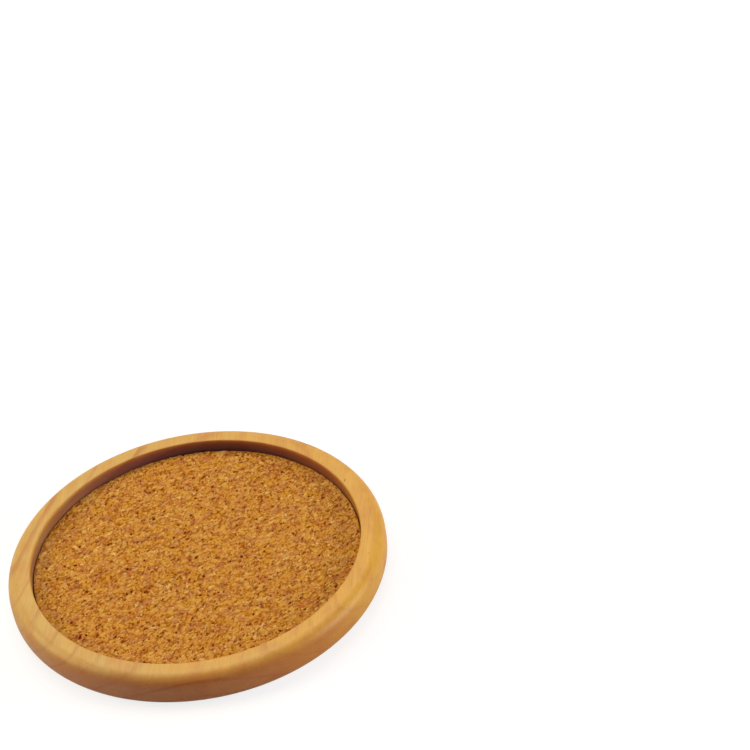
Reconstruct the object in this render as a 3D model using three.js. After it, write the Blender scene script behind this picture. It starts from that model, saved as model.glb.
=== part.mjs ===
// Round wooden coaster: a dish turned from one hardwood board, with a cork disc glued into its recess.
// Millimetres, +Z up. The origin is the centre of the flat underside, which rests on the table.
import * as THREE from "three";

// Turned dish: two rounded outer edges with an upright band between them, and a flat rim round the recess.
const RECESS_DIAMETER = 83;
const RIM_FLAT_WIDTH = 2.1;
const UPPER_EDGE_RADIUS = 3.5;
const SIDE_BAND_HEIGHT = 2;
const LOWER_EDGE_RADIUS = 3.5;
const MOUTH_EASE_RADIUS = 0.4;
const FLOOR_THICKNESS = 3.2;

// Inlay: a cork disc on a film of glue, with a little room around it in the recess.
const CORK_THICKNESS = 2.4;
const CORK_EDGE_RADIUS = 0.3;
const CORK_SIDE_CLEARANCE = 0.35;
const GLUE_THICKNESS = 0.2;
const GLUE_SET_BACK = 1;

// Fineness of the round surfaces
const TURNS = 120;
const EDGE_STEPS = 8;
const EASE_STEPS = 4;

// Radii, counted from the axis outwards
const recessRadius = RECESS_DIAMETER / 2;
const rimFlatRadius = recessRadius + MOUTH_EASE_RADIUS + RIM_FLAT_WIDTH;
const dishRadius = rimFlatRadius + UPPER_EDGE_RADIUS;
const corkRadius = recessRadius - CORK_SIDE_CLEARANCE;
const glueRadius = corkRadius - GLUE_SET_BACK;

// Levels, counted from the underside up: the rim stands above the cork as a lip that keeps a mug in place.
const glueTop = FLOOR_THICKNESS + GLUE_THICKNESS;
const corkTop = glueTop + CORK_THICKNESS;
const bandTop = LOWER_EDGE_RADIUS + SIDE_BAND_HEIGHT;
const rimTop = bandTop + UPPER_EDGE_RADIUS;

// Finishes: satin-lacquered pale hardwood, bare agglomerated cork and dried clear glue
const lacqueredWood = new THREE.MeshStandardMaterial({ color: 0xd9a35a, roughness: 0.42, metalness: 0 });
const agglomeratedCork = new THREE.MeshStandardMaterial({ color: 0xbe7d34, roughness: 0.9, metalness: 0 });
const driedGlue = new THREE.MeshStandardMaterial({ color: 0xd8c89a, roughness: 0.5, metalness: 0 });

/** Adds a quarter round to a profile, counter-clockwise from the start angle about its centre. */
function addQuarterRound(profile, centre, radius, startAngle, steps) {
  for (let step = 0; step <= steps; step++) {
    const angle = startAngle + (Math.PI / 2) * (step / steps);
    const reach = new THREE.Vector2(Math.cos(angle), Math.sin(angle)).multiplyScalar(radius);
    profile.push(reach.add(centre));
  }
}

/** A named piece, turned about +Z from a profile of (radius, height) that starts and ends on the axis. */
function turnedPiece(name, profile, material) {
  const geometry = new THREE.LatheGeometry(profile, TURNS);
  geometry.rotateX(Math.PI / 2);
  const mesh = new THREE.Mesh(geometry, material);
  mesh.name = name;
  return mesh;
}

/**
 * The dish: a flat underside, two rounded outer edges with a short upright band between them,
 * a flat rim, a sanded arris round the mouth, and a straight wall down to the flat floor.
 */
function turnedDish() {
  const profile = [new THREE.Vector2(0, 0)];
  const lowerCentre = new THREE.Vector2(dishRadius - LOWER_EDGE_RADIUS, LOWER_EDGE_RADIUS);
  addQuarterRound(profile, lowerCentre, LOWER_EDGE_RADIUS, -Math.PI / 2, EDGE_STEPS);
  const upperCentre = new THREE.Vector2(rimFlatRadius, bandTop);
  addQuarterRound(profile, upperCentre, UPPER_EDGE_RADIUS, 0, EDGE_STEPS);
  const mouthCentre = new THREE.Vector2(recessRadius + MOUTH_EASE_RADIUS, rimTop - MOUTH_EASE_RADIUS);
  addQuarterRound(profile, mouthCentre, MOUTH_EASE_RADIUS, Math.PI / 2, EASE_STEPS);
  profile.push(new THREE.Vector2(recessRadius, FLOOR_THICKNESS));
  profile.push(new THREE.Vector2(0, FLOOR_THICKNESS));
  return turnedPiece("turned_dish", profile, lacqueredWood);
}

/** The glue: a thin film on the dish's floor, which stops a little short of the cork's edge. */
function glueFilm() {
  const profile = [
    new THREE.Vector2(0, FLOOR_THICKNESS),
    new THREE.Vector2(glueRadius, FLOOR_THICKNESS),
    new THREE.Vector2(glueRadius, glueTop),
    new THREE.Vector2(0, glueTop),
  ];
  return turnedPiece("glue_film", profile, driedGlue);
}

/** The cork: a die-cut disc with a softened upper edge. */
function corkInlay() {
  const profile = [new THREE.Vector2(0, glueTop), new THREE.Vector2(corkRadius, glueTop)];
  const edgeCentre = new THREE.Vector2(corkRadius - CORK_EDGE_RADIUS, corkTop - CORK_EDGE_RADIUS);
  addQuarterRound(profile, edgeCentre, CORK_EDGE_RADIUS, 0, EASE_STEPS);
  profile.push(new THREE.Vector2(0, corkTop));
  return turnedPiece("cork_inlay", profile, agglomeratedCork);
}

const coaster = new THREE.Group();
coaster.name = "wooden_coaster";
coaster.add(turnedDish(), glueFilm(), corkInlay());

export default coaster;
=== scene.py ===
"""Looks of a round coaster: a dish turned from one alder board, with a cork disc glued into its recess.

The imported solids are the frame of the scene: metres, +Z up, origin at the centre of the underside.
Sizes in the classes are millimetres, and MM turns them into the frame's metres.
"""

import logging
import math
from collections.abc import Mapping, Sequence
from dataclasses import dataclass, field
from enum import Enum
from typing import Any, NamedTuple

import bpy
from bpy.types import Material, Mesh, NodeSocket, Object
from mathutils import Matrix, Vector


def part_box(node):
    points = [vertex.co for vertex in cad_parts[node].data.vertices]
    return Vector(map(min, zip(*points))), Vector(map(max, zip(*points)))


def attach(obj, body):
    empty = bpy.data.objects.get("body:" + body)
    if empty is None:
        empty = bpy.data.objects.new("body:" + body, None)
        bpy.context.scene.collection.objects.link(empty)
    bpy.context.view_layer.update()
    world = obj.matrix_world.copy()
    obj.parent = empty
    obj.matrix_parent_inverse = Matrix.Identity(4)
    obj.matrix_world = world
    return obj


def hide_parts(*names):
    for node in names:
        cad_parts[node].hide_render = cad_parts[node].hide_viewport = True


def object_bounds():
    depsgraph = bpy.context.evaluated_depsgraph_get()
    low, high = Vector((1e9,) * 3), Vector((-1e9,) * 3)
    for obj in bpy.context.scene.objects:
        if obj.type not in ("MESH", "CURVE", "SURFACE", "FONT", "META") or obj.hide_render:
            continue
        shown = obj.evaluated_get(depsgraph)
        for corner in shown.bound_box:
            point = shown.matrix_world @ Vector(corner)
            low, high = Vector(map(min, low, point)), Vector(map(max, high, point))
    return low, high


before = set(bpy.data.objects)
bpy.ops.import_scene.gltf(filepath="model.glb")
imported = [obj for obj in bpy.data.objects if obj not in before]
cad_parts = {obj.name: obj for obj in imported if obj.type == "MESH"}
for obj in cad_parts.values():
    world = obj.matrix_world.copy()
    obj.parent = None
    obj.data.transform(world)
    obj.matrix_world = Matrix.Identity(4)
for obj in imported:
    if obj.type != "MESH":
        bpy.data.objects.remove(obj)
CAD_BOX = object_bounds()

MM = 0.001
ROOT_BODY = "root"
WHITE = (1.0, 1.0, 1.0, 1.0)

# A noise texture swings about this mean, and nearly all of it lies in this span.
NOISE_MEAN = (0.5, 0.5, 0.5)
NOISE_SPAN = (0.3, 0.7)

log = logging.getLogger("coaster")

Point2 = tuple[float, float]
Span = tuple[float, float]
Stops = tuple[tuple[float, str], ...]
Tree = bpy.types.NodeTree

# What feeds an input: a socket, or a node, which stands for its first output.
Feed = bpy.types.Node | NodeSocket


class Node(Enum):
    """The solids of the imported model."""

    DISH = "turned_dish"
    GLUE = "glue_film"
    CORK = "cork_inlay"


class Slot(Enum):
    """The record's material slots."""

    WOOD = "lacquered_hardwood"
    GLUE = "dried_glue"
    CORK = "agglomerated_cork"


def linear(hex_colour: str) -> tuple[float, float, float, float]:
    """Turns an sRGB colour into the linear values that shaders take.

    Args:
        hex_colour: the colour as "#rrggbb".

    Returns:
        Red, green and blue in linear light, and an alpha of 1.
    """
    channels = [int(hex_colour[start:start + 2], 16) / 255 for start in (1, 3, 5)]
    red, green, blue = (c / 12.92 if c <= 0.04045 else ((c + 0.055) / 1.055) ** 2.4 for c in channels)
    return red, green, blue, 1.0


def add_node(
    tree: Tree,
    kind: str,
    inputs: Mapping[str, Any] | Sequence[Any] = (),
    stops: Stops = (),
    **settings: Any,
) -> bpy.types.Node:
    """Adds a node to a tree, with its settings, its values and its links.

    A node holds the sockets of all its modes. Only those that its settings switch on are counted.

    Args:
        tree: the shader or geometry tree.
        kind: Blender's name for the kind of node.
        inputs: what feeds each input, or its fixed value, by name or in the node's own order.
        stops: places and colours of a colour ramp.
        **settings: the node's own properties.

    Returns:
        The new node.
    """
    node = tree.nodes.new(kind)
    for name, setting in settings.items():
        setattr(node, name, setting)
    sockets = [socket for socket in node.inputs if socket.enabled]
    if isinstance(inputs, Mapping):
        by_name = {socket.name: socket for socket in sockets}
        pairs = [(by_name[name], value) for name, value in inputs.items()]
    else:
        pairs = list(zip(sockets, inputs))
    for socket, value in pairs:
        if isinstance(value, bpy.types.Node):
            value = next(output for output in value.outputs if output.enabled)
        if isinstance(value, NodeSocket):
            tree.links.new(value, socket)
        else:
            socket.default_value = value
    if stops:
        ramp = node.color_ramp.elements
        while len(ramp) < len(stops):
            ramp.new(1.0)
        for element, (place, colour) in zip(ramp, stops):
            element.position = place
            element.color = linear(colour)
    return node


def arc(centre: Point2, radius: float, start_deg: float, end_deg: float, steps: int) -> list[Point2]:
    """Points along a round of a profile.

    Args:
        centre: its centre, as distance from the axis and height.
        radius: its radius.
        start_deg: the angle of the first point, counted from straight outwards.
        end_deg: the angle of the last point.
        steps: the number of straight steps.

    Returns:
        The points in order, both ends among them.
    """
    angles = [math.radians(start_deg + (end_deg - start_deg) * step / steps) for step in range(steps + 1)]
    return [(centre[0] + radius * math.cos(a), centre[1] + radius * math.sin(a)) for a in angles]


def between(start: Point2, end: Point2, steps: int) -> list[Point2]:
    """Points that divide a straight stretch of a profile.

    Args:
        start: where it starts, which isn't among the points.
        end: where it ends, which isn't among the points.
        steps: the number of steps it is divided into.

    Returns:
        The points between the two ends.
    """
    shares = [step / steps for step in range(1, steps)]
    return [(start[0] + (end[0] - start[0]) * s, start[1] + (end[1] - start[1]) * s) for s in shares]


def new_material(name: str) -> tuple[Material, Tree]:
    """Makes an empty node material.

    Args:
        name: the material's name.

    Returns:
        The material and its empty tree.
    """
    material = bpy.data.materials.new(name)
    material.use_nodes = True
    material.node_tree.nodes.clear()
    return material, material.node_tree


def show_surface(tree: Tree, shader: Feed) -> None:
    """Links a shader to the material's output."""
    add_node(tree, "ShaderNodeOutputMaterial", {"Surface": shader})


def new_piece(name: str, mesh: Mesh) -> Object:
    """Puts a mesh into the scene as an object at the origin, unturned and unscaled.

    Args:
        name: the object's name.
        mesh: its mesh.

    Returns:
        The object.
    """
    piece = bpy.data.objects.new(name, mesh)
    bpy.context.scene.collection.objects.link(piece)
    return piece


@dataclass(frozen=True)
class LacqueredAlder:
    """Alder under a satin lacquer: a plain honey-coloured wood with thin dark lines between growth rings.

    The board is sawn flat from a trunk whose pith lies under it, so the lines make arches on the rim and
    low bows on the end grain at the front. End grain drinks more lacquer and shows darker and redder, and
    part of that dark red is painted shade. The face goes from pale on the left to warm on the right as
    painted warm light. The turned wall of the recess is darkened as painted shade, most of all low on its
    end grain.
    """

    # pale and warm are the ends of painted warm light across the face, left and right.
    pale: str = "#cda753"
    warm: str = "#d5a23b"
    blush: str = "#c68a3a"
    ring_line: str = "#ae6824"
    end_grain: str = "#ba7a47"
    # The recess colour and the one below are painted shade on the recess wall, the second low on its end
    # grain.
    recess: str = "#a8805e"
    painted_wall_shade: str = "#75656b"
    fleck: str = "#7a4a24"
    pore: str = "#8f5a28"

    # How the board lay in the trunk: the turn of its fibres, and the pith's place aside and below the rim
    grain_turn_deg: float = 15.0
    pith_aside: float = 8.0
    pith_depth: float = 55.7
    pith_slope: float = 0.17

    # Growth rings: their width and how it changes, how far they wander and fray, and the shades of one year
    ring_width: float = 4.4
    changes_per_ring: float = 0.45
    wander: float = 2.2
    wander_width: float = 22.0
    wander_length: float = 60.0
    fray: float = 0.42
    frays_per_mm: float = 1.2
    fray_draw: float = 0.22
    year_shades: Stops = (
        (0.0, "#989898"),
        (0.07, "#101010"),
        (0.5, "#181818"),
        (0.8, "#3c3c3c"),
        (0.94, "#ffffff"),
        (1.0, "#f4f4f4"),
    )
    year_strengths: Span = (0.45, 1.0)

    # Patches where the lines fade, most of all on the right
    clear_patch: float = 14.0
    fade_reach: Span = (20.0, 40.0)
    fade: Span = (0.05, -0.35)

    # The cut, from 0 along the fibres to 1 across them, sets how much of the lines and of the end-grain
    # darkening shows, which is partly painted shade.
    ring_on_face: float = 1.05
    ring_on_end: float = 0.62
    end_line_cut: float = 0.5
    stain_and_shade_cut: float = 0.15

    # Tones of the face: painted warm light from pale on the left to warm on the right, with clouds and
    # blushes
    warm_light_reach: float = 40.0
    cloud: float = 24.0
    cloud_swing: Span = (-0.3, 0.3)
    blush_width: float = 4.0
    blush_length: float = 8.0
    blush_span: Span = (0.42, 0.68)
    blush_share: float = 0.52

    # Single fibres are too fine to show, so they are drawn as coarser streaks. Pores have a real width.
    fibre_width: float = 0.2
    fibre_length: float = 9.0
    fibre_shades: Span = (0.92, 1.08)
    pore_width: float = 0.07
    pore_length: float = 1.6
    pore_span: Span = (0.56, 0.68)
    pore_share: float = 0.22
    grain_depth: float = 0.02
    grain_strength: float = 0.35

    # Flecks: their spacing, how rare they are, and their size and soft edge as shares of the spacing
    fleck_across: float = 4.0
    fleck_along: float = 9.0
    fleck_rarity: float = 0.86
    largest_fleck: float = 0.09
    fleck_edge: float = 0.05
    fleck_share: float = 0.7

    roughness: float = 0.42
    roughness_swing: float = 0.05
    gloss: float = 0.45
    ior: float = 1.5

    def fibre_direction(self) -> Vector:
        """The direction of the fibres in the coaster."""
        turn = math.radians(self.grain_turn_deg)
        return Vector((math.sin(turn), math.cos(turn), 0.0))

    def material(self) -> Material:
        """Builds the wood's material.

        Returns:
            The material.
        """
        # Lacquer over sanded wood gives a soft sheen on the round edges and lets the figure show through.
        material, tree = new_material("satin_lacquered_alder")
        place = add_node(tree, "ShaderNodeMapping", {
            "Vector": add_node(tree, "ShaderNodeTexCoord").outputs["Object"],
            "Rotation": (0.0, 0.0, math.radians(self.grain_turn_deg)),
            "Scale": (1 / MM,) * 3,
        })
        cut, inside, low = (
            add_node(tree, "ShaderNodeAttribute", attribute_name=name).outputs["Fac"]
            for name in (TurnedDish.END_GRAIN, TurnedDish.RECESS, TurnedDish.PAINTED_WALL_SHADE)
        )
        fibre = self.streaks(tree, place, self.fibre_width, self.fibre_length)
        dash = self.streaks(tree, place, self.pore_width, self.pore_length)
        pore = add_node(tree, "ShaderNodeMapRange", (dash, *self.pore_span))
        colour = self.face_colour(tree, place)
        line = self.ring_lines(tree, place, cut)
        colour = add_node(tree, "ShaderNodeMix", (line, colour, linear(self.ring_line)), data_type="RGBA")
        shade = add_node(tree, "ShaderNodeMapRange", (fibre, *NOISE_SPAN, *self.fibre_shades))
        colour = add_node(tree, "ShaderNodeVectorMath", (colour, shade), operation="SCALE")
        open_pore = add_node(tree, "ShaderNodeMath", (pore, self.pore_share), operation="MULTIPLY")
        colour = add_node(tree, "ShaderNodeMix", (open_pore, colour, linear(self.pore)), data_type="RGBA")
        # End grain drinks in lacquer and shows darker; its wide reach and red tone are partly painted shade.
        across = add_node(
            tree, "ShaderNodeMapRange", (cut, self.stain_and_shade_cut, 1.0), interpolation_type="SMOOTHSTEP"
        )
        colour = self.stain_and_painted_shade(tree, colour, across, self.end_grain, self.pale)
        colour = self.flecked(tree, colour, place)
        # Painted shade: the recess wall is darkened, and more so low down on its end grain.
        colour = self.stain_and_painted_shade(tree, colour, inside, self.recess, self.pale)
        colour = self.stain_and_painted_shade(tree, colour, low, self.painted_wall_shade, self.recess)
        roughness = add_node(tree, "ShaderNodeMapRange", (
            fibre, 0.0, 1.0, self.roughness - self.roughness_swing, self.roughness + self.roughness_swing,
        ))
        height = add_node(tree, "ShaderNodeMath", (fibre, pore), operation="SUBTRACT")
        grain = add_node(tree, "ShaderNodeBump", {
            "Height": height, "Strength": self.grain_strength, "Distance": self.grain_depth * MM,
        })
        shader = add_node(tree, "ShaderNodeBsdfPrincipled", {
            "Base Color": colour,
            "Roughness": roughness,
            "Normal": grain,
            "IOR": self.ior,
            "Specular IOR Level": self.gloss,
        })
        show_surface(tree, shader)
        return material

    @staticmethod
    def drawn_out(tree: Tree, place: Feed, across: float, along: float) -> Feed:
        """Scales a place in the wood by one factor across its fibres and by another along them."""
        return add_node(tree, "ShaderNodeVectorMath", (place, (across, along, across)), operation="MULTIPLY")

    def streaks(self, tree: Tree, place: Feed, width: float, length: float) -> Feed:
        """Draws streaks along the fibres, which are dots where the wood is cut across.

        Args:
            tree: the material's tree.
            place: the place in the wood, in millimetres.
            width: the width of a dark or a pale streak.
            length: its length.

        Returns:
            The streaks, from 0 to 1.
        """
        drawn = self.drawn_out(tree, place, 1 / (2 * width), 1 / (2 * length))
        return add_node(tree, "ShaderNodeTexNoise", {
            "Vector": drawn, "Scale": 1.0, "Detail": 3.0, "Roughness": 0.6,
        })

    def pith_distance(self, tree: Tree, place: Feed) -> Feed:
        """Measures how far a place is from the pith, through wood that grew a little wavy.

        Args:
            tree: the material's tree.
            place: the place in the wood, in millimetres.

        Returns:
            The distance in millimetres.
        """
        drawn = self.drawn_out(tree, place, 1 / self.wander_width, 1 / self.wander_length)
        wave = add_node(tree, "ShaderNodeTexNoise", {"Vector": drawn, "Scale": 1.0, "Detail": 2.0})
        swing = add_node(
            tree, "ShaderNodeVectorMath", (wave.outputs["Color"], NOISE_MEAN), operation="SUBTRACT"
        )
        bent = add_node(
            tree, "ShaderNodeVectorMath", (swing, (self.wander,) * 3, place), operation="MULTIPLY_ADD"
        )
        from_pith = add_node(tree, "ShaderNodeMapping", {
            "Vector": bent,
            "Location": (self.pith_aside, 0.0, CAD_BOX[1].z / MM - self.pith_depth),
            "Rotation": (-math.atan(self.pith_slope), 0.0, 0.0),
        }, vector_type="TEXTURE")
        across = self.drawn_out(tree, from_pith, 1.0, 0.0)
        return add_node(tree, "ShaderNodeVectorMath", (across,), operation="LENGTH")

    def ring_lines(self, tree: Tree, place: Feed, cut: Feed) -> Feed:
        """Draws the growth rings as shells round the pith, each with a strength of its own.

        Args:
            tree: the material's tree.
            place: the place in the wood, in millimetres.
            cut: how far the surface cuts across the fibres.

        Returns:
            How dark the ring line is there, from 0 to 1.
        """
        radius = self.pith_distance(tree, place)
        drawn = self.drawn_out(tree, place, 1.0, self.fray_draw)
        fuzz = add_node(tree, "ShaderNodeTexNoise", {
            "Vector": drawn, "Scale": self.frays_per_mm, "Detail": 1.0,
        })
        frayed = add_node(tree, "ShaderNodeMath", (fuzz, self.fray, radius), operation="MULTIPLY_ADD")
        rings = add_node(tree, "ShaderNodeMath", (frayed, 1 / self.ring_width), operation="MULTIPLY")
        uneven = add_node(tree, "ShaderNodeTexNoise", {
            "W": rings, "Scale": self.changes_per_ring, "Detail": 1.0,
        }, noise_dimensions="1D")
        age = add_node(tree, "ShaderNodeMath", (uneven, rings), operation="ADD")
        season = add_node(tree, "ShaderNodeMath", (age,), operation="FRACT")
        year = add_node(tree, "ShaderNodeMath", (age,), operation="FLOOR")
        shade = add_node(tree, "ShaderNodeValToRGB", (season,), stops=self.year_shades)
        chance = add_node(tree, "ShaderNodeTexWhiteNoise", {"W": year}, noise_dimensions="1D")
        strength = add_node(tree, "ShaderNodeMapRange", (chance, 0.0, 1.0, *self.year_strengths))
        line = add_node(tree, "ShaderNodeMath", (shade, strength), operation="MULTIPLY")
        patch = add_node(tree, "ShaderNodeTexNoise", {
            "Vector": place, "Scale": 1 / self.clear_patch, "Detail": 1.0,
        })
        aside = add_node(tree, "ShaderNodeSeparateXYZ", (place,)).outputs["X"]
        fade = add_node(tree, "ShaderNodeMapRange", (aside, *self.fade_reach, *self.fade))
        clear = add_node(tree, "ShaderNodeMath", (patch, fade), operation="ADD", use_clamp=True)
        line = add_node(tree, "ShaderNodeMath", (line, clear), operation="MULTIPLY")
        contrast = add_node(tree, "ShaderNodeMapRange", (
            cut, 0.0, self.end_line_cut, self.ring_on_face, self.ring_on_end,
        ))
        return add_node(tree, "ShaderNodeMath", (line, contrast), operation="MULTIPLY", use_clamp=True)

    def face_colour(self, tree: Tree, place: Feed) -> Feed:
        """Mixes the tones of the board's face.

        Args:
            tree: the material's tree.
            place: the place in the wood, in millimetres.

        Returns:
            The colour.
        """
        cloud = add_node(tree, "ShaderNodeTexNoise", {
            "Vector": place, "Scale": 1 / self.cloud, "Detail": 2.0,
        })
        swing = add_node(tree, "ShaderNodeMapRange", (cloud, *NOISE_SPAN, *self.cloud_swing))
        # Painted warm light: pale on the left to warm on the right, where the warm right lamp falls.
        aside = add_node(tree, "ShaderNodeSeparateXYZ", (place,)).outputs["X"]
        warm_light_side = add_node(tree, "ShaderNodeMapRange", (aside, -self.warm_light_reach, self.warm_light_reach))
        warmth = add_node(tree, "ShaderNodeMath", (warm_light_side, swing), operation="ADD", use_clamp=True)
        tone = add_node(
            tree, "ShaderNodeMix", (warmth, linear(self.pale), linear(self.warm)), data_type="RGBA"
        )
        drawn = self.drawn_out(tree, place, 1 / self.blush_width, 1 / self.blush_length)
        figure = add_node(tree, "ShaderNodeTexNoise", {"Vector": drawn, "Scale": 1.0, "Detail": 3.0})
        mottle = add_node(tree, "ShaderNodeMapRange", (figure, *self.blush_span, 0.0, self.blush_share))
        return add_node(tree, "ShaderNodeMix", (mottle, tone, linear(self.blush)), data_type="RGBA")

    @staticmethod
    def stain_and_painted_shade(tree: Tree, colour: Feed, share: Feed, stain_or_shade: str, ground: str) -> Feed:
        """Darkens the wood, both where end grain drinks in lacquer and as painted shade.

        Args:
            tree: the material's tree.
            colour: the colour before it is darkened.
            share: how much of the darkening shows, from 0 to 1.
            stain_or_shade: what the ground becomes where all of the darkening shows.
            ground: the wood that the darkening is given for.

        Returns:
            The darkened colour.
        """
        ratio = tuple(s / g for s, g in zip(linear(stain_or_shade), linear(ground)))
        tint = add_node(tree, "ShaderNodeMix", (share, WHITE, ratio), data_type="RGBA")
        return add_node(tree, "ShaderNodeVectorMath", (colour, tint), operation="MULTIPLY")

    def flecked(self, tree: Tree, colour: Feed, place: Feed) -> Feed:
        """Adds the few short dark flecks that alder has.

        Args:
            tree: the material's tree.
            colour: the colour without them.
            place: the place in the wood, in millimetres.

        Returns:
            The colour with them.
        """
        drawn = self.drawn_out(tree, place, 1 / self.fleck_across, 1 / self.fleck_along)
        cell = add_node(tree, "ShaderNodeTexVoronoi", {"Vector": drawn, "Scale": 1.0})
        chance = add_node(tree, "ShaderNodeSeparateXYZ", (cell.outputs["Color"],)).outputs["X"]
        reach = add_node(tree, "ShaderNodeMapRange", (
            chance, self.fleck_rarity, 1.0, 0.0, self.largest_fleck,
        ))
        inside = add_node(tree, "ShaderNodeMath", (reach, cell.outputs["Distance"]), operation="SUBTRACT")
        mark = add_node(tree, "ShaderNodeMapRange", (inside, 0.0, self.fleck_edge, 0.0, self.fleck_share))
        return add_node(tree, "ShaderNodeMix", (mark, colour, linear(self.fleck)), data_type="RGBA")


class Granules(NamedTuple):
    """What the pattern of cork granules says about a place."""

    tone: Feed
    rise: Feed
    hue: Feed
    edge: Feed
    fine: Feed
    bark: Feed
    pit: Feed
    halo: Feed


@dataclass(frozen=True)
class GranulePattern:
    """Cork crushed to granules and pressed to a block: the same pattern gives the relief and the colours.

    The press draws the granules out along a slant and bends them round each other. Finer grit lies among
    them, and so do pits, each with a scorched rim.
    """

    granule: float = 0.94
    grit: float = 0.43
    pit_spacing: float = 0.98
    pit_share: float = 0.6
    largest_pit: float = 0.33
    pit_slope: float = 0.09
    scorched_rim: float = 0.2
    ripple: float = 0.9
    bend: float = 1.0
    slant_deg: float = 42.0
    stretch: float = 1.5
    seed: tuple[float, float, float] = (17.0, 5.0, 11.0)

    def add_to(
        self, tree: Tree, place: Feed, granule: float | Feed, seed: Sequence[float] | Feed
    ) -> Granules:
        """Adds the pattern's nodes to a shader or geometry tree.

        Args:
            tree: the tree.
            place: the place in the cork, in millimetres.
            granule: the granules' size in millimetres, fixed or as a socket.
            seed: the shift that picks the part of the pattern, fixed or as a socket.

        Returns:
            The sockets of the pattern.
        """
        turned = add_node(tree, "ShaderNodeVectorRotate", {
            "Vector": place, "Angle": -math.radians(self.slant_deg),
        }, rotation_type="Z_AXIS")
        drawn = (1 / self.stretch, 1.0, 1.0)
        shifted = add_node(tree, "ShaderNodeVectorMath", (turned, drawn, seed), operation="MULTIPLY_ADD")
        ripple = add_node(tree, "ShaderNodeTexNoise", {
            "Vector": shifted, "Scale": 1 / self.ripple, "Detail": 2.0,
        })
        swing = add_node(
            tree, "ShaderNodeVectorMath", (ripple.outputs["Color"], NOISE_MEAN), operation="SUBTRACT"
        )
        bent = add_node(
            tree, "ShaderNodeVectorMath", (swing, (self.bend,) * 3, shifted), operation="MULTIPLY_ADD"
        )
        density = add_node(tree, "ShaderNodeMath", (1.0, granule), operation="DIVIDE")
        seam = add_node(
            tree, "ShaderNodeTexVoronoi", {"Vector": bent, "Scale": density}, feature="DISTANCE_TO_EDGE"
        )
        edge = add_node(tree, "ShaderNodeMath", (seam, granule), operation="MULTIPLY")
        cell, speck, hole = (
            add_node(tree, "ShaderNodeTexVoronoi", {"Vector": bent, "Scale": scale}).outputs
            for scale in (density, 1 / self.grit, 1 / self.pit_spacing)
        )
        chance, fine, luck = (
            add_node(tree, "ShaderNodeSeparateXYZ", (cells["Color"],)).outputs
            for cells in (cell, speck, hole)
        )
        no_pit = 1 - self.pit_share
        reach = add_node(tree, "ShaderNodeMapRange", (
            luck["X"], no_pit, 1.0, 0.0, self.largest_pit / self.pit_spacing,
        ))
        inside = add_node(tree, "ShaderNodeMath", (reach, hole["Distance"]), operation="SUBTRACT")
        pit = add_node(tree, "ShaderNodeMapRange", (inside, 0.0, self.pit_slope / self.pit_spacing))
        near = add_node(tree, "ShaderNodeMapRange", (inside, -self.scorched_rim / self.pit_spacing, 0.0))
        pitted = add_node(tree, "ShaderNodeMath", (luck["X"], no_pit), operation="GREATER_THAN")
        halo = add_node(tree, "ShaderNodeMath", (near, pitted), operation="MULTIPLY")
        return Granules(
            tone=chance["X"],
            rise=chance["Y"],
            hue=chance["Z"],
            edge=edge,
            fine=fine["X"],
            bark=fine["Y"],
            pit=pit,
            halo=halo,
        )


@dataclass(frozen=True)
class Tint:
    """A colour that some granules lean to, from the hue where it starts to the one where it is strongest."""

    colour: str
    starts: float
    strongest: float
    share: float


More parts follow.
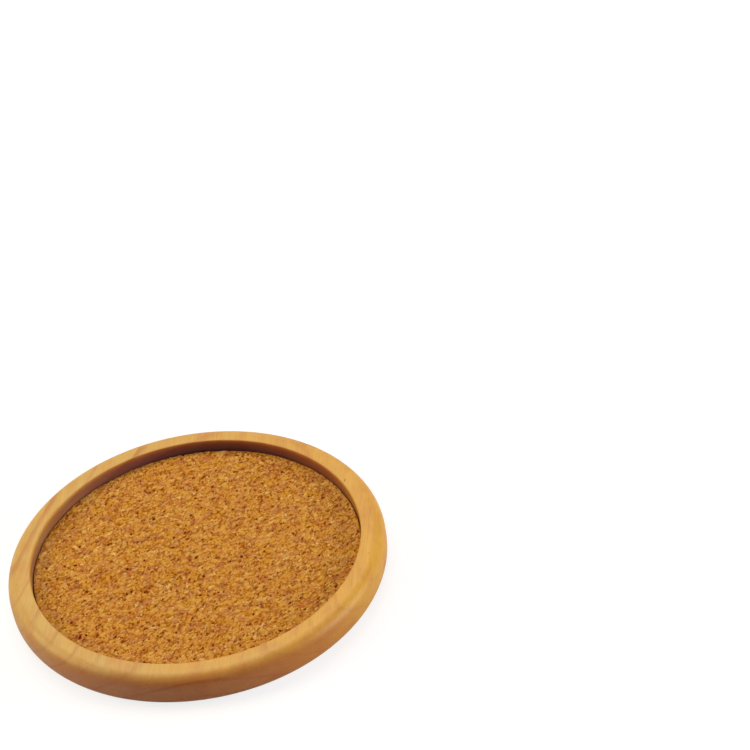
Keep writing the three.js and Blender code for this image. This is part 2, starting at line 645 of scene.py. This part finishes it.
@dataclass(frozen=True)
class AgglomeratedCork:
    """Bare cork sheet, cut flat: warm brown granules of many tones, pale chips, bark and dark pits.

    The tone of a place comes from its granule and its grit. Its hue comes from its granule and from the
    batch that lies there. Crevices gape more in some places than in others. Their dark colour and that of
    the pits is painted shade over the carved relief.
    """

    tones: Stops = (
        (0.0, "#9f5712"),
        (0.2, "#bb772a"),
        (0.42, "#c78d3e"),
        (0.68, "#cd9b4c"),
        (0.88, "#d6ab5e"),
        (1.0, "#eac684"),
    )
    granule_tone: float = 0.4
    grit_tone: float = 0.59
    tints: tuple[Tint, ...] = (
        Tint("#a96444", starts=0.55, strongest=0.9, share=0.5),
        Tint("#d09a26", starts=0.48, strongest=0.15, share=0.42),
    )
    granule_hue: float = 0.3
    batch_hue: float = 0.7
    batch: float = 3.0
    # Painted shade in the gaps between granules.
    crevice: str = "#762600"
    crevice_share: float = 0.7
    crevice_widths: Span = (0.028, 0.224)
    gape: float = 1.4
    gape_span: Span = (0.45, 0.65)
    bark: str = "#6e2a00"
    bark_share: float = 0.8
    bark_chance: Span = (0.07, 0.042)
    scorch: str = "#9c460c"
    scorch_share: float = 0.4
    # Painted shade in the pits.
    pit: str = "#560e00"
    pit_share: float = 0.92
    crumb: float = 0.3
    crumb_shades: Span = (0.88, 1.13)
    crumb_depth: float = 0.08
    crumb_strength: float = 0.5
    roughness: float = 0.92
    gloss: float = 0.02
    ior: float = 1.3

    def material(self, pattern: GranulePattern) -> Material:
        """Builds the cork's material.

        Args:
            pattern: the granules, as the relief has them.

        Returns:
            The material.
        """
        # Bare cut cork scatters the light: no sheen, a speckle of many browns, and painted shade as dark
        # dots at its pits.
        material, tree = new_material("cut_agglomerated_cork")
        place = add_node(tree, "ShaderNodeAttribute", attribute_name=CorkInlay.PLACE).outputs["Vector"]
        grains = pattern.add_to(tree, place, pattern.granule, pattern.seed)
        batch, gape, crumb = (
            add_node(tree, "ShaderNodeTexNoise", {"Vector": place, "Scale": 1 / size, "Detail": detail})
            for size, detail in ((self.batch, 1.0), (self.gape, 1.0), (self.crumb, 2.0))
        )
        grit = add_node(tree, "ShaderNodeMath", (grains.fine, self.grit_tone), operation="MULTIPLY")
        tone = add_node(
            tree, "ShaderNodeMath", (grains.tone, self.granule_tone, grit), operation="MULTIPLY_ADD"
        )
        colour = add_node(tree, "ShaderNodeValToRGB", (tone,), stops=self.tones)
        drift = add_node(tree, "ShaderNodeMapRange", (batch, *NOISE_SPAN, 0.0, self.batch_hue))
        hue = add_node(
            tree, "ShaderNodeMath", (grains.hue, self.granule_hue, drift), operation="MULTIPLY_ADD"
        )
        width = add_node(tree, "ShaderNodeMapRange", (gape, *self.gape_span, *self.crevice_widths))
        # Coats of colour, each laid over the last: the range that gives its share, and its colour
        coats = [((hue, tint.starts, tint.strongest, 0.0, tint.share), tint.colour) for tint in self.tints]
        # The crevice and pit coats are painted shade in the gaps and pits; bark and scorch are the cork's
        # own colour.
        coats += [
            ((grains.edge, 0.0, width, self.crevice_share, 0.0), self.crevice),
            ((grains.bark, *self.bark_chance, 0.0, self.bark_share), self.bark),
            ((grains.halo, 0.0, 1.0, 0.0, self.scorch_share), self.scorch),
            ((grains.pit, 0.0, 1.0, 0.0, self.pit_share), self.pit),
        ]
        for span, coat in coats:
            share = add_node(tree, "ShaderNodeMapRange", span)
            colour = add_node(tree, "ShaderNodeMix", (share, colour, linear(coat)), data_type="RGBA")
        shade = add_node(tree, "ShaderNodeMapRange", (crumb, *NOISE_SPAN, *self.crumb_shades))
        colour = add_node(tree, "ShaderNodeVectorMath", (colour, shade), operation="SCALE")
        crumbs = add_node(tree, "ShaderNodeBump", {
            "Height": crumb, "Strength": self.crumb_strength, "Distance": self.crumb_depth * MM,
        })
        shader = add_node(tree, "ShaderNodeBsdfPrincipled", {
            "Base Color": colour,
            "Roughness": self.roughness,
            "IOR": self.ior,
            "Specular IOR Level": self.gloss,
            "Normal": crumbs,
        })
        show_surface(tree, shader)
        return material


@dataclass(frozen=True)
class DriedGlue:
    """Wood glue that has dried to a yellowish film: slightly uneven from the brush, with a dull shine."""

    thick: str = "#cdb67e"
    thin: str = "#e0d2a8"
    streak: float = 3.0
    streak_draw: float = 0.25
    ripple_depth: float = 0.05
    ripple_strength: float = 0.4
    roughness: float = 0.5
    ior: float = 1.46

    def material(self) -> Material:
        """Builds the glue's material.

        Returns:
            The material.
        """
        # A dried film gives a dull shine, and a yellow that is paler where the brush left it thin.
        material, tree = new_material("dried_wood_glue")
        place = add_node(tree, "ShaderNodeTexCoord").outputs["Object"]
        brushed = add_node(tree, "ShaderNodeMapping", {
            "Vector": place, "Scale": (1.0, self.streak_draw, 1.0),
        })
        film = add_node(tree, "ShaderNodeTexNoise", {
            "Vector": brushed, "Scale": 1 / (self.streak * MM), "Detail": 4.0,
        })
        colour = add_node(
            tree, "ShaderNodeValToRGB", (film,), stops=tuple(zip(NOISE_SPAN, (self.thick, self.thin)))
        )
        ripple = add_node(tree, "ShaderNodeBump", {
            "Height": film, "Strength": self.ripple_strength, "Distance": self.ripple_depth * MM,
        })
        shader = add_node(tree, "ShaderNodeBsdfPrincipled", {
            "Base Color": colour,
            "Roughness": self.roughness,
            "IOR": self.ior,
            "Normal": ripple,
        })
        show_surface(tree, shader)
        return material


@dataclass
class TurnedDish:
    """The dish: rounded outer edges, a flat rim with a sanded arris, and a straight wall to the floor."""

    END_GRAIN = "end_grain"
    RECESS = "recess"
    PAINTED_WALL_SHADE = "painted_wall_shade"

    upper_edge_radius: float = 3.5
    lower_edge_radius: float = 3.5
    mouth_ease_radius: float = 0.4
    cork_side_clearance: float = 0.35
    wall_tolerance: float = 0.1
    wall_shade_depth: float = 2.3
    wall_shade_power: int = 4
    turns: int = 360
    edge_steps: int = 18
    ease_steps: int = 6
    rim_steps: int = 4
    wall_steps: int = 6
    disc_steps: int = 8
    sharp_edge_deg: float = 40.0
    wood: LacqueredAlder = field(default_factory=LacqueredAlder)

    def recess_radius(self) -> float:
        """The radius of the recess, which the cork fills up to a clearance."""
        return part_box(Node.CORK.value)[1].x / MM + self.cork_side_clearance

    def profile(self) -> list[Point2]:
        """The section that is turned, from the centre of the underside to the centre of the floor.

        Returns:
            Distances from the axis and heights, in millimetres.
        """
        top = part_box(Node.DISH.value)[1] / MM
        radius, height = top.x, top.z
        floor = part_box(Node.GLUE.value)[0].z / MM
        recess = self.recess_radius()
        lower = (radius - self.lower_edge_radius, self.lower_edge_radius)
        upper = (radius - self.upper_edge_radius, height - self.upper_edge_radius)
        mouth = (recess + self.mouth_ease_radius, height - self.mouth_ease_radius)
        foot = (lower[0], 0.0)
        corner = (recess, floor)
        return [
            (0.0, 0.0),
            *between((0.0, 0.0), foot, self.disc_steps),
            *arc(lower, self.lower_edge_radius, -90, 0, self.edge_steps),
            *arc(upper, self.upper_edge_radius, 0, 90, self.edge_steps),
            *between((upper[0], height), (mouth[0], height), self.rim_steps),
            *arc(mouth, self.mouth_ease_radius, 90, 180, self.ease_steps),
            *between((recess, mouth[1]), corner, self.wall_steps),
            corner,
            *between(corner, (0.0, floor), self.disc_steps),
            (0.0, floor),
        ]

    def build(self) -> Object:
        """Turns the section about the axis.

        Returns:
            The dish.
        """
        profile = self.profile()
        rings = profile[1:-1]
        angles = [math.tau * turn / self.turns for turn in range(self.turns)]
        points = [Vector((r * math.cos(a), r * math.sin(a), z)) * MM for r, z in rings for a in angles]
        start = len(points)
        points += [Vector((0.0, 0.0, z)) * MM for _, z in (profile[0], profile[-1])]
        last = (len(rings) - 1) * self.turns
        sides = [(turn, (turn + 1) % self.turns) for turn in range(self.turns)]
        faces = [
            (here + a, here + b, here + self.turns + b, here + self.turns + a)
            for here in range(0, last, self.turns) for a, b in sides
        ]
        for a, b in sides:
            faces += [(start, b, a), (start + 1, last + a, last + b)]
        mesh = bpy.data.meshes.new("turned_dish_wood")
        mesh.from_pydata(points, [], faces)
        mesh.shade_smooth()
        mesh.set_sharp_from_angle(angle=math.radians(self.sharp_edge_deg))
        return new_piece("turned_dish_wood", mesh)

    def dress(self, piece: Object) -> None:
        """Marks end grain and the recess wall's painted shade, gives the dish its wood and puts it in the
        solid's place.

        Args:
            piece: the dish.
        """
        mesh = piece.data
        fibres = self.wood.fibre_direction()
        cut = [abs(normal.vector.dot(fibres)) for normal in mesh.vertex_normals]
        # Painted shade on the recess wall, darkest low down on its end grain.
        mouth = (self.recess_radius() + self.wall_tolerance) * MM
        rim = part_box(Node.DISH.value)[1].z - self.mouth_ease_radius * MM
        inside = [float(v.co.xy.length < mouth and 0.0 < v.co.z < rim) for v in mesh.vertices]
        low = [min(1.0, max(0.0, (rim - v.co.z) / (self.wall_shade_depth * MM))) for v in mesh.vertices]
        across = [abs(v.co.xy.normalized().dot(fibres.xy)) ** self.wall_shade_power for v in mesh.vertices]
        painted_wall_shade = [wall * depth * end for wall, depth, end in zip(inside, low, across)]
        for name, values in ((self.END_GRAIN, cut), (self.RECESS, inside), (self.PAINTED_WALL_SHADE, painted_wall_shade)):
            mesh.attributes.new(name, "FLOAT", "POINT").data.foreach_set("value", values)
        mesh.materials.append(self.wood.material())
        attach(piece, ROOT_BODY)
        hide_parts(Node.DISH.value)


@dataclass
class CorkInlay:
    """The cork: a die-cut disc whose cut face shows granules, seams and pits as real relief.

    It swells a little past its solid at the edge, so that only a thin dark line shows round it.
    """

    PLACE = "cork_place"
    CARVE = "carve"

    edge_radius: float = 0.3
    edge_swell: float = 0.17
    cells: int = 287
    edge_steps: int = 4
    side_steps: int = 4
    granule_step: float = 0.1
    seam_depth: float = 0.1
    seam_width: float = 0.2
    pit_depth: float = 0.35
    pattern: GranulePattern = field(default_factory=GranulePattern)
    cork: AgglomeratedCork = field(default_factory=AgglomeratedCork)

    def blank(self) -> Mesh:
        """Makes the smooth disc: a square grid drawn out to a circle, a round edge, a side and a flat back.

        Returns:
            The mesh, with the share of the relief that each point gets and a flat map of the face.
        """
        low, high = (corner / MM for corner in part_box(Node.CORK.value))
        radius, back, face = high.x + self.edge_swell, low.z, high.z
        inner = radius - self.edge_radius
        count = self.cells + 1
        steps = [2 * i / self.cells - 1 for i in range(count)]
        points = [
            (inner * u * math.sqrt(1 - v * v / 2), inner * v * math.sqrt(1 - u * u / 2), face)
            for v in steps for u in steps
        ]
        faces = [
            (row * count + i, row * count + i + 1, (row + 1) * count + i + 1, (row + 1) * count + i)
            for row in range(self.cells) for i in range(self.cells)
        ]
        carve = [1.0] * len(points)
        border = list(range(count))
        border += [row * count + self.cells for row in range(1, count)]
        border += [self.cells * count + i for i in range(self.cells - 1, -1, -1)]
        border += [row * count for row in range(self.cells - 1, 0, -1)]
        section = arc((inner, face - self.edge_radius), self.edge_radius, 90, 0, self.edge_steps)[1:]
        section += between(section[-1], (radius, back), self.side_steps)
        section.append((radius, back))
        above = border
        for reach, height in section:
            start = len(points)
            points += [(points[i][0] / inner * reach, points[i][1] / inner * reach, height) for i in border]
            carve += [1.0 if height > back else 0.0] * len(border)
            ring = list(range(start, start + len(border)))
            faces += [
                (ring[i], ring[(i + 1) % len(ring)], above[(i + 1) % len(ring)], above[i])
                for i in range(len(ring))
            ]
            above = ring
        centre = len(points)
        points.append((0.0, 0.0, back))
        carve.append(0.0)
        faces += [(centre, above[(i + 1) % len(above)], above[i]) for i in range(len(above))]
        mesh = bpy.data.meshes.new("cork_blank")
        mesh.from_pydata([Vector(p) * MM for p in points], [], faces)
        mesh.attributes.new(self.CARVE, "FLOAT", "POINT").data.foreach_set("value", carve)
        self.lay_flat(mesh, radius, face)
        return mesh

    def lay_flat(self, mesh: Mesh, radius: float, face: float) -> None:
        """Maps the face as one round island, the side as a ring round it, and the back small in a corner.

        Args:
            mesh: the smooth disc.
            radius: the disc's radius.
            face: the height of its face.
        """
        face_centre, face_share, side_share = Vector((0.46, 0.46)), 0.41, 0.016
        back_centre, back_share, back_normal = Vector((0.93, 0.93)), 0.06, -0.5
        layer = mesh.uv_layers.new(name="OFBake")
        on_face, on_back = [], []
        for vertex in mesh.vertices:
            across = vertex.co.xy / (radius * MM)
            outwards = across.normalized() * (face - vertex.co.z / MM)
            on_face.append(face_centre + across * face_share + outwards * side_share)
            on_back.append(back_centre + across * back_share)
        for polygon in mesh.polygons:
            places = on_back if polygon.normal.z < back_normal else on_face
            for corner in polygon.loop_indices:
                layer.uv[corner].vector = places[mesh.loops[corner].vertex_index]

    def relief_inputs(self) -> dict[str, tuple[str, Any]]:
        """Lists what the relief's tree takes in beside the disc.

        Returns:
            For each input, by name, the kind of its socket and its value.
        """
        return {
            "Granule size": ("NodeSocketFloat", self.pattern.granule),
            "Granule step": ("NodeSocketFloat", self.granule_step),
            "Seam width": ("NodeSocketFloat", self.seam_width),
            "Seam depth": ("NodeSocketFloat", self.seam_depth),
            "Pit depth": ("NodeSocketFloat", self.pit_depth),
            "Seed": ("NodeSocketVector", self.pattern.seed),
            "Cork": ("NodeSocketMaterial", self.cork.material(self.pattern)),
        }

    def relief_tree(self, inputs: Mapping[str, tuple[str, Any]]) -> Tree:
        """Builds the Geometry Nodes tree that carves the relief into the smooth disc.

        Args:
            inputs: for each input, by name, the kind of its socket and its value.

        Returns:
            The tree.
        """
        tree = bpy.data.node_groups.new("cork_relief", "GeometryNodeTree")
        for side in ("INPUT", "OUTPUT"):
            tree.interface.new_socket("Geometry", in_out=side, socket_type="NodeSocketGeometry")
        for name, (kind, _) in inputs.items():
            tree.interface.new_socket(name, in_out="INPUT", socket_type=kind)
        sizes = add_node(tree, "NodeGroupInput").outputs
        position = add_node(tree, "GeometryNodeInputPosition")
        place = add_node(tree, "ShaderNodeVectorMath", (position, 1 / MM), operation="SCALE")
        marked = add_node(tree, "GeometryNodeStoreNamedAttribute", {
            "Geometry": sizes["Geometry"], "Name": self.PLACE, "Value": place,
        }, data_type="FLOAT_VECTOR", domain="POINT")
        grains = self.pattern.add_to(tree, place, sizes["Granule size"], sizes["Seed"])
        sunk = add_node(tree, "ShaderNodeMath", (grains.rise, sizes["Granule step"]), operation="MULTIPLY")
        seam = add_node(tree, "ShaderNodeMapRange", (
            grains.edge, 0.0, sizes["Seam width"], sizes["Seam depth"], 0.0,
        ))
        deeper = add_node(tree, "ShaderNodeMath", (sunk, seam), operation="ADD")
        depth = add_node(
            tree, "ShaderNodeMath", (grains.pit, sizes["Pit depth"], deeper), operation="MULTIPLY_ADD"
        )
        carve = add_node(tree, "GeometryNodeInputNamedAttribute", {"Name": self.CARVE}, data_type="FLOAT")
        cut = add_node(tree, "ShaderNodeMath", (depth, carve), operation="MULTIPLY")
        inward = add_node(tree, "ShaderNodeMath", (cut, -MM), operation="MULTIPLY")
        normal = add_node(tree, "GeometryNodeInputNormal")
        offset = add_node(tree, "ShaderNodeVectorMath", (normal, inward), operation="SCALE")
        carved = add_node(tree, "GeometryNodeSetPosition", {"Geometry": marked, "Offset": offset})
        real = add_node(tree, "GeometryNodeRealizeInstances", {"Geometry": carved})
        dressed = add_node(tree, "GeometryNodeSetMaterial", {"Geometry": real, "Material": sizes["Cork"]})
        add_node(tree, "NodeGroupOutput", {"Geometry": dressed})
        return tree

    def build(self) -> Object:
        """Carves the relief and turns it into a plain mesh.

        Returns:
            The cork.
        """
        inputs = self.relief_inputs()
        tree = self.relief_tree(inputs)
        blank = new_piece("cork_blank", self.blank())
        carving = blank.modifiers.new("cork_relief", "NODES")
        carving.node_group = tree
        for socket in tree.interface.items_tree:
            if socket.name in inputs:
                carving[socket.identifier] = inputs[socket.name][1]
        graph = bpy.context.evaluated_depsgraph_get()
        mesh = bpy.data.meshes.new_from_object(
            blank.evaluated_get(graph), preserve_all_data_layers=True, depsgraph=graph
        )
        bpy.data.objects.remove(blank)
        mesh.name = "cork_inlay_granules"
        mesh.shade_smooth()
        return new_piece("cork_inlay_granules", mesh)

    def dress(self, piece: Object) -> None:
        """Puts the cork in the solid's place.

        Args:
            piece: the cork.
        """
        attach(piece, ROOT_BODY)
        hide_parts(Node.CORK.value)


@dataclass
class GlueFilm:
    """The glue under the cork, which keeps the shape of its solid."""

    glue: DriedGlue = field(default_factory=DriedGlue)

    def dress(self) -> Object:
        """Gives the solid its finish.

        Returns:
            The solid's object.
        """
        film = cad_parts[Node.GLUE.value]
        film.data.materials.clear()
        film.data.materials.append(self.glue.material())
        return film


@dataclass(frozen=True)
class PhotoView:
    """The camera, which sees the coaster as the photograph does."""

    focal_length: float = 117.94
    sensor: float = 36.0
    nearest: float = 10.0
    position: tuple[float, float, float] = (0.0, -469.7, 404.57)
    pitch_deg: float = 36.944
    yaw_deg: float = 6.169
    roll_deg: float = -8.372

    def place(self) -> Object:
        """Makes the camera.

        Returns:
            The camera, set as the scene's.
        """
        lens = bpy.data.cameras.new("photo_view")
        lens.lens = self.focal_length
        lens.sensor_width = self.sensor
        lens.clip_start = self.nearest * MM
        camera = bpy.data.objects.new("photo_view", lens)
        turn = Matrix.Rotation(math.radians(-self.yaw_deg), 4, "Z")
        tilt = Matrix.Rotation(math.radians(90 - self.pitch_deg), 4, "X")
        roll = Matrix.Rotation(math.radians(self.roll_deg), 4, "Z")
        camera.matrix_world = Matrix.Translation(Vector(self.position) * MM) @ turn @ tilt @ roll
        bpy.context.scene.collection.objects.link(camera)
        bpy.context.scene.camera = camera
        return camera


@dataclass(frozen=True)
class Softbox:
    """A square lamp behind diffusing cloth, turned to the coaster.

    The level is what a white card at the coaster shows when it faces this lamp alone.
    """

    name: str
    towards: tuple[float, float, float]
    distance: float
    side: float
    level: float
    colour: str

    def hang(self) -> Object:
        """Makes the lamp.

        Returns:
            The lamp.
        """
        distance = self.distance * MM
        lamp = bpy.data.lights.new(self.name, "AREA")
        lamp.shape = "SQUARE"
        lamp.size = self.side * MM
        lamp.energy = self.level * (math.pi * distance) ** 2
        lamp.color = linear(self.colour)[:3]
        hung = bpy.data.objects.new(self.name, lamp)
        direction = Vector(self.towards).normalized()
        facing = direction.to_track_quat("Z", "Y").to_matrix().to_4x4()
        hung.matrix_world = Matrix.Translation(direction * distance) @ facing
        hung.visible_camera = False
        bpy.context.scene.collection.objects.link(hung)
        return hung


@dataclass
class Studio:
    """A white paper sweep, three softboxes and a dim room."""

    paper_shown: str = "#898989"
    paper_bounce: str = "#d0d0d0"
    room: str = "#3d4869"
    glow_shown: float = 0.8
    floor_mirrored: float = 0.2
    wall_mirrored: float = 0.7
    sweep_half_width: float = 3000.0
    sweep_front: float = -3000.0
    sweep_back: float = 2200.0
    sweep_bend: float = 600.0
    sweep_height: float = 2500.0
    bend_steps: int = 12
    lamps: tuple[Softbox, ...] = (
        Softbox("overhead_softbox", (0.0, 0.42, 1.0), 1100.0, 900.0, 0.655, "#fff8f3"),
        Softbox("right_softbox", (0.91, -0.22, 0.35), 1100.0, 600.0, 0.74, "#fff0d2"),
        Softbox("left_softbox", (-0.69, 0.18, 0.45), 1100.0, 600.0, 0.64, "#ffe8b6"),
    )

    def paper_material(self) -> Material:
        """Builds the sweep's material.

        Returns:
            The material.
        """
        # Matt paper gives a plain white ground with a soft shadow, and sends only a little light back up.
        material, tree = new_material("white_paper_sweep")
        path = add_node(tree, "ShaderNodeLightPath").outputs
        colour = add_node(tree, "ShaderNodeMix", (
            path["Is Camera Ray"], linear(self.paper_bounce), linear(self.paper_shown),
        ), data_type="RGBA")
        matt = add_node(tree, "ShaderNodeBsdfDiffuse", {"Color": colour})
        mirrored = add_node(
            tree, "ShaderNodeMath", (path["Is Glossy Ray"], path["Is Transmission Ray"]), operation="MAXIMUM"
        )
        place = add_node(tree, "ShaderNodeTexCoord").outputs["Object"]
        height = add_node(tree, "ShaderNodeSeparateXYZ", (place,)).outputs["Z"]
        brightness = add_node(tree, "ShaderNodeMapRange", (
            height, 0.0, self.sweep_bend * MM, self.floor_mirrored, self.wall_mirrored,
        ))
        reflected = add_node(tree, "ShaderNodeMath", (mirrored, brightness), operation="MULTIPLY")
        glow = add_node(tree, "ShaderNodeMath", (
            path["Is Camera Ray"], self.glow_shown, reflected,
        ), operation="MULTIPLY_ADD")
        light = add_node(tree, "ShaderNodeEmission", {"Strength": glow})
        both = add_node(tree, "ShaderNodeAddShader", (matt, light))
        show_surface(tree, both)
        return material

    def lay_sweep(self) -> Object:
        """Lays the paper under the coaster and up behind it.

        Returns:
            The sweep.
        """
        centre = (self.sweep_back - self.sweep_bend, self.sweep_bend)
        bend = arc(centre, self.sweep_bend, -90, 0, self.bend_steps)
        section = [(self.sweep_front, 0.0), *bend, (self.sweep_back, self.sweep_height)]
        edges = (-self.sweep_half_width, self.sweep_half_width)
        points = [(x * MM, y * MM, z * MM) for y, z in section for x in edges]
        faces = [(2 * i, 2 * i + 1, 2 * i + 3, 2 * i + 2) for i in range(len(section) - 1)]
        mesh = bpy.data.meshes.new("paper_sweep")
        mesh.from_pydata(points, [], faces)
        mesh.shade_smooth()
        mesh.materials.append(self.paper_material())
        sweep = new_piece("paper_sweep", mesh)
        return sweep

    def dim_room(self) -> None:
        """Makes the room round the sweep: white to the camera, dim on the coaster."""
        world = bpy.data.worlds.new("studio_room")
        world.use_nodes = True
        tree = world.node_tree
        tree.nodes.clear()
        seen = add_node(tree, "ShaderNodeLightPath").outputs["Is Camera Ray"]
        colour = add_node(tree, "ShaderNodeMix", (seen, linear(self.room), WHITE), data_type="RGBA")
        room = add_node(tree, "ShaderNodeBackground", {"Color": colour})
        add_node(tree, "ShaderNodeOutputWorld", {"Surface": room})
        bpy.context.scene.world = world

    def set_up(self) -> None:
        """Builds the whole studio."""
        self.lay_sweep()
        self.dim_room()
        for lamp in self.lamps:
            lamp.hang()


def main() -> None:
    """Builds the view, the studio and the coaster's pieces, in that order."""
    logging.basicConfig(level=logging.INFO, format="%(name)s: %(message)s")
    bpy.context.scene.view_settings.view_transform = "Standard"
    PhotoView().place()
    Studio().set_up()
    for maker in (TurnedDish(), CorkInlay()):
        piece = maker.build()
        maker.dress(piece)
        log.info("%s: %d faces", piece.name, len(piece.data.polygons))
    film = GlueFilm().dress()
    log.info("%s: %d faces", film.name, len(film.data.polygons))


if __name__ == "__main__":
    main()
